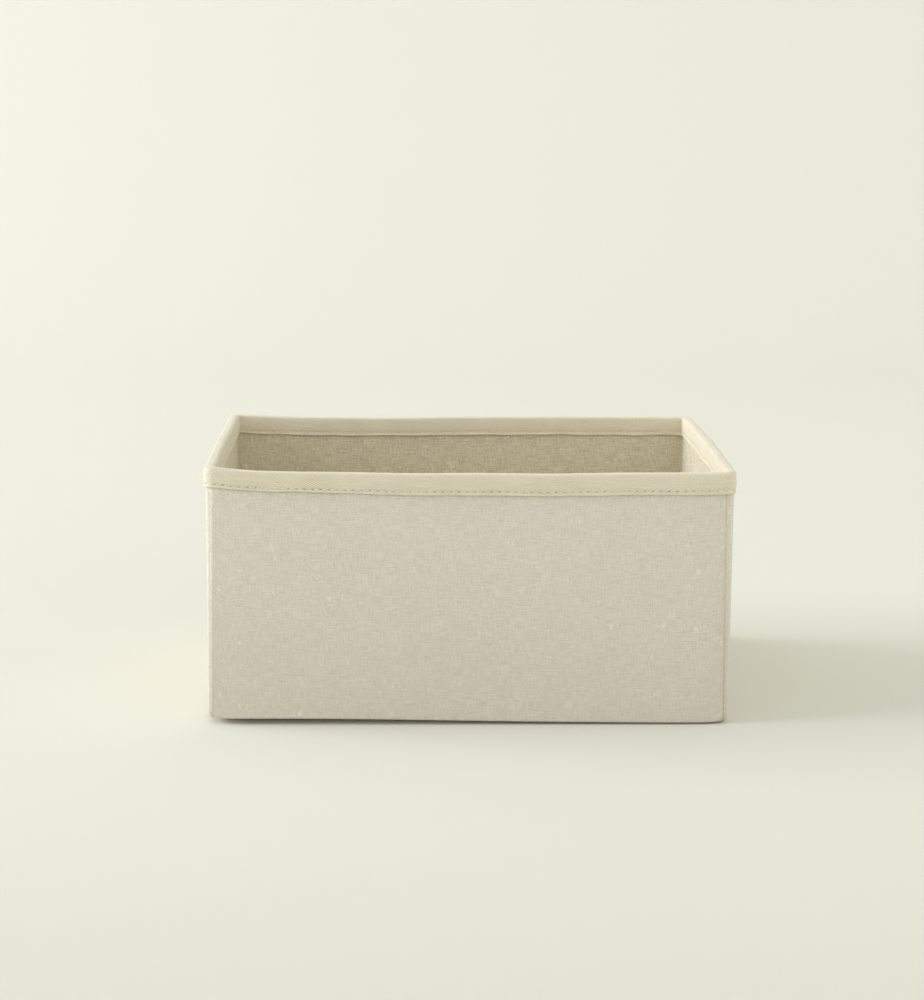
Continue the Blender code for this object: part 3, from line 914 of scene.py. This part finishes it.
def base_lining():
    """The lining of the bottom, which curves up over the canvas where that stands off the floor."""
    inset = LINING_FACE + 0.4 * MM
    half_x, half_y = HALF_X - inset, HALF_Y - inset
    top = LINING_BASE_TOP
    section = [(0.0, top + 1.2 * MM), (0.4 * MM, top + 0.4 * MM), (1.2 * MM, top)]
    section += [(run, top) for run in evenly(4 * MM, half_y - 1 * MM, 5 * MM)]
    points, faces = disc(half_x, half_y, BASE_LINING_CORNER, section)
    x, y = points[..., 0], points[..., 1]
    wave = BASE_LINING_WAVE * np.sin(x * 90 + y * 50) * np.cos(y * 80)
    over_canvas = raised(top, distances_round(half_x, half_y), BASE_CLEARANCE) - top
    near_edge = 1 - smoothstep(1.0 * MM, 5.0 * MM, np.array([run for run, _ in section])[:, None])
    points[..., 2] += wave - BASE_LINING_WAVE
    points[..., 2] += over_canvas * near_edge
    obj = new_object("base_lining", points, faces, LINING_CLOTH)
    set_cloth(obj, x + 0.3, y + 0.2)
    solidify(obj, LINING_BASE)
    finish_piece(obj, "bin", "lining_base")


def base_seam():
    """Running stitches round the underside, just inside the curved edge of its canvas."""
    inset = CANVAS_INSET + BASE_SETBACK + BASE_RISE_RUN + 1 * MM
    half_x, half_y = HALF_X - inset, HALF_Y - inset
    within = np.linspace(0, 1, 7)
    z = BASE_STITCH_HEIGHT + BASE_STITCH_SINK * (bell(within, 0.15) + bell(1 - within, 0.15))
    downwards = np.tile([0.0, 0.0, -1.0], (7, 1))
    lines = []
    for quarter in range(4):
        length = 2 * ((half_x, half_y)[quarter % 2] - BASE_SEAM_CORNER)
        count = int(length / STITCH_PITCH)
        for number in range(count):
            share = (number + np.linspace(0.06, 0.94, 7)) / count
            x, y, _, _ = outline(2 * quarter + share, half_x, half_y, BASE_SEAM_CORNER)
            lines.append((np.stack([x, y, z], axis=-1), downwards))
    thread_tubes("base_stitches", "base_seam_thread", lines, BASE_THREAD)


# ---------------------------------------------------------------- loose insert
RETURNS = 18 * MM
INSERT_CORNER = 3 * MM
INSERT_CROWN, INSERT_WAVE = 0.35 * MM, 0.10 * MM


def insert_cover():
    """Canvas wrapped round the loose board: a softly crowned top, round edges, and returns below."""
    half_x, half_y = INSERT_HIGH.x, INSERT_HIGH.y
    low, high = INSERT_LOW.z, INSERT_HIGH.z
    edge = (high - low) / 2
    section = [(RETURNS, low + 0.35 * MM), (RETURNS - 0.6 * MM, low + 0.02 * MM)]
    section += [(run, low) for run in evenly(RETURNS - 2 * MM, edge + 1 * MM, 3 * MM)]
    for angle in np.linspace(0, math.pi, 11):
        section.append((edge * (1 - math.sin(angle)), (low + high) / 2 - edge * math.cos(angle)))
    section += [(run, high) for run in evenly(edge + 1 * MM, half_y - 1 * MM, 4 * MM)]
    points, faces = disc(half_x, half_y, INSERT_CORNER, section)
    x, y, z = points[..., 0], points[..., 1], points[..., 2]
    inside = np.minimum(half_x - np.abs(x), half_y - np.abs(y))
    crown = INSERT_CROWN * smoothstep(0, 30 * MM, inside)
    wave = INSERT_WAVE * (np.sin(70 * x + 40 * y) + np.sin(55 * y - 90 * x + 1))
    soft_top = crown + wave * smoothstep(0, 12 * MM, inside)
    points[..., 2] = z + np.where(z > high - 0.3 * MM, soft_top, 0.0)
    obj = new_object("insert_canvas_cover", points, faces, LINING_CLOTH)
    # Below, the cloth runs on from the edge it was folded over.
    under = (z < (low + high) / 2).astype(float)
    fold = 2 * (inside + edge) * under
    over_end = np.abs(x) / half_x > np.abs(y) / half_y
    u = x + 0.9 + np.where(over_end, np.sign(x) * fold, 0)
    set_cloth(obj, u, y + np.where(over_end, 0, np.sign(y) * fold))
    solidify(obj, CANVAS)
    finish_piece(obj, "base_insert", "insert_cover")


def insert_backing():
    half_x, half_y = BACKING_HIGH.x, BACKING_HIGH.y
    section = [(inset, BACKING_LOW.z) for inset in evenly(0.0, half_y - 1 * MM, 6 * MM)]
    points, faces = disc(half_x, half_y, INSERT_CORNER, section, down=True)
    obj = new_object("insert_backing_sheet", points, faces, BACKING)
    set_cloth(obj, points[..., 0], points[..., 1])
    solidify(obj, BACKING_HIGH.z - BACKING_LOW.z)
    finish_piece(obj, "base_insert", "insert_backing")


# ---------------------------------------------------------------- camera, light and stage
CAMERA_PLACE = (-0.0361, -1.1701, 0.3225)
CAMERA_PITCH = math.radians(10.91)
CAMERA_YAW = math.radians(-1.68)
CAMERA_ROLL = math.radians(0.44)
CAMERA_LENS = 80.9


def camera():
    data = bpy.data.cameras.new("camera")
    data.lens = CAMERA_LENS
    data.sensor_width = 36.0
    obj = bpy.data.objects.new("camera", data)
    bpy.context.scene.collection.objects.link(obj)
    aim = Matrix.Rotation(CAMERA_YAW, 4, "Z") @ Matrix.Rotation(math.pi / 2 - CAMERA_PITCH, 4, "X")
    obj.matrix_world = Matrix.Translation(CAMERA_PLACE) @ aim @ Matrix.Rotation(CAMERA_ROLL, 4, "Z")
    bpy.context.scene.camera = obj


SKY_STRENGTH = 0.73
WINDOW_POWER = 288.0
FILL_POWER = 15.0
CARD_POWER = 17.0
WARM_WHITE, COOL_WHITE = (1.0, 0.99, 0.965), (1.0, 1.005, 1.09)
WINDOW_PLACE, WINDOW_SIZE = (-5.4, 0.1, 2.15), (4.0, 2.8)
FILL_PLACE, FILL_SIZE = (2.2, -2.8, 1.3), (2.6, 2.2)
CARD_PLACE, CARD_SIZE = (3.0, 0.3, 1.0), (2.4, 1.6)
SWEEP_NEAR, SWEEP_FAR = (0.644, 0.638, 0.563), (0.757, 0.750, 0.663)
SWEEP_FRONT, SWEEP_BEND, SWEEP_TOP, SWEEP_HALF_WIDTH = -14.0, 1.2, 4.0, 14.0


def area_light(name, location, aim, size, power, colour):
    data = bpy.data.lights.new(name, "AREA")
    data.shape = "RECTANGLE"
    data.size, data.size_y = size
    data.energy = power
    data.color = colour
    obj = bpy.data.objects.new(name, data)
    obj.location = location
    direction = Vector(aim) - Vector(location)
    obj.rotation_mode = "QUATERNION"
    obj.rotation_quaternion = direction.to_track_quat("-Z", "Y")
    bpy.context.scene.collection.objects.link(obj)


def lights():
    world = bpy.data.worlds.new("soft_light")
    bpy.context.scene.world = world
    world.use_nodes = True
    background = world.node_tree.nodes["Background"]
    background.inputs["Color"].default_value = (*WARM_WHITE, 1.0)
    background.inputs["Strength"].default_value = SKY_STRENGTH
    area_light("window", WINDOW_PLACE, (0.0, 0.0, 0.05), WINDOW_SIZE, WINDOW_POWER, COOL_WHITE)
    area_light("reflector", FILL_PLACE, (0.0, 0.0, 0.1), FILL_SIZE, FILL_POWER, WARM_WHITE)
    area_light("card", CARD_PLACE, (0.0, 0.0, 0.1), CARD_SIZE, CARD_POWER, WARM_WHITE)
    bpy.context.scene.view_settings.view_transform = "Standard"


def stage():
    """A pale sweep: a floor that curves up into a wall behind."""
    profile = [(SWEEP_FRONT, 0.0), (SWEEP_BEND, 0.0)]
    for angle in np.linspace(0, math.pi / 2, 16)[1:]:
        rise = SWEEP_BEND * (1 - math.cos(angle))
        profile.append((SWEEP_BEND + SWEEP_BEND * math.sin(angle), rise))
    profile.append((2 * SWEEP_BEND, SWEEP_TOP))
    ends = (-SWEEP_HALF_WIDTH, SWEEP_HALF_WIDTH)
    points = np.array([[(x, y, z) for x in ends] for y, z in profile])
    material = stage_material("pale_paper", SWEEP_NEAR, SWEEP_FAR)
    floor = new_object("pale_sweep", points, grid_faces(len(profile), 2), material)


def finish_board():
    """Gives the insert's board, which stays as packed, its material."""
    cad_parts["insert_board"].material_slots[0].material = GREYBOARD


def main():
    camera()
    lights()
    stage()
    outer_walls()
    boards()
    lining_walls()
    rim_tape()
    rim_stitches()
    corner_seam_threads()
    base_canvas()
    base_lining()
    base_seam()
    insert_cover()
    insert_backing()
    finish_board()


main()
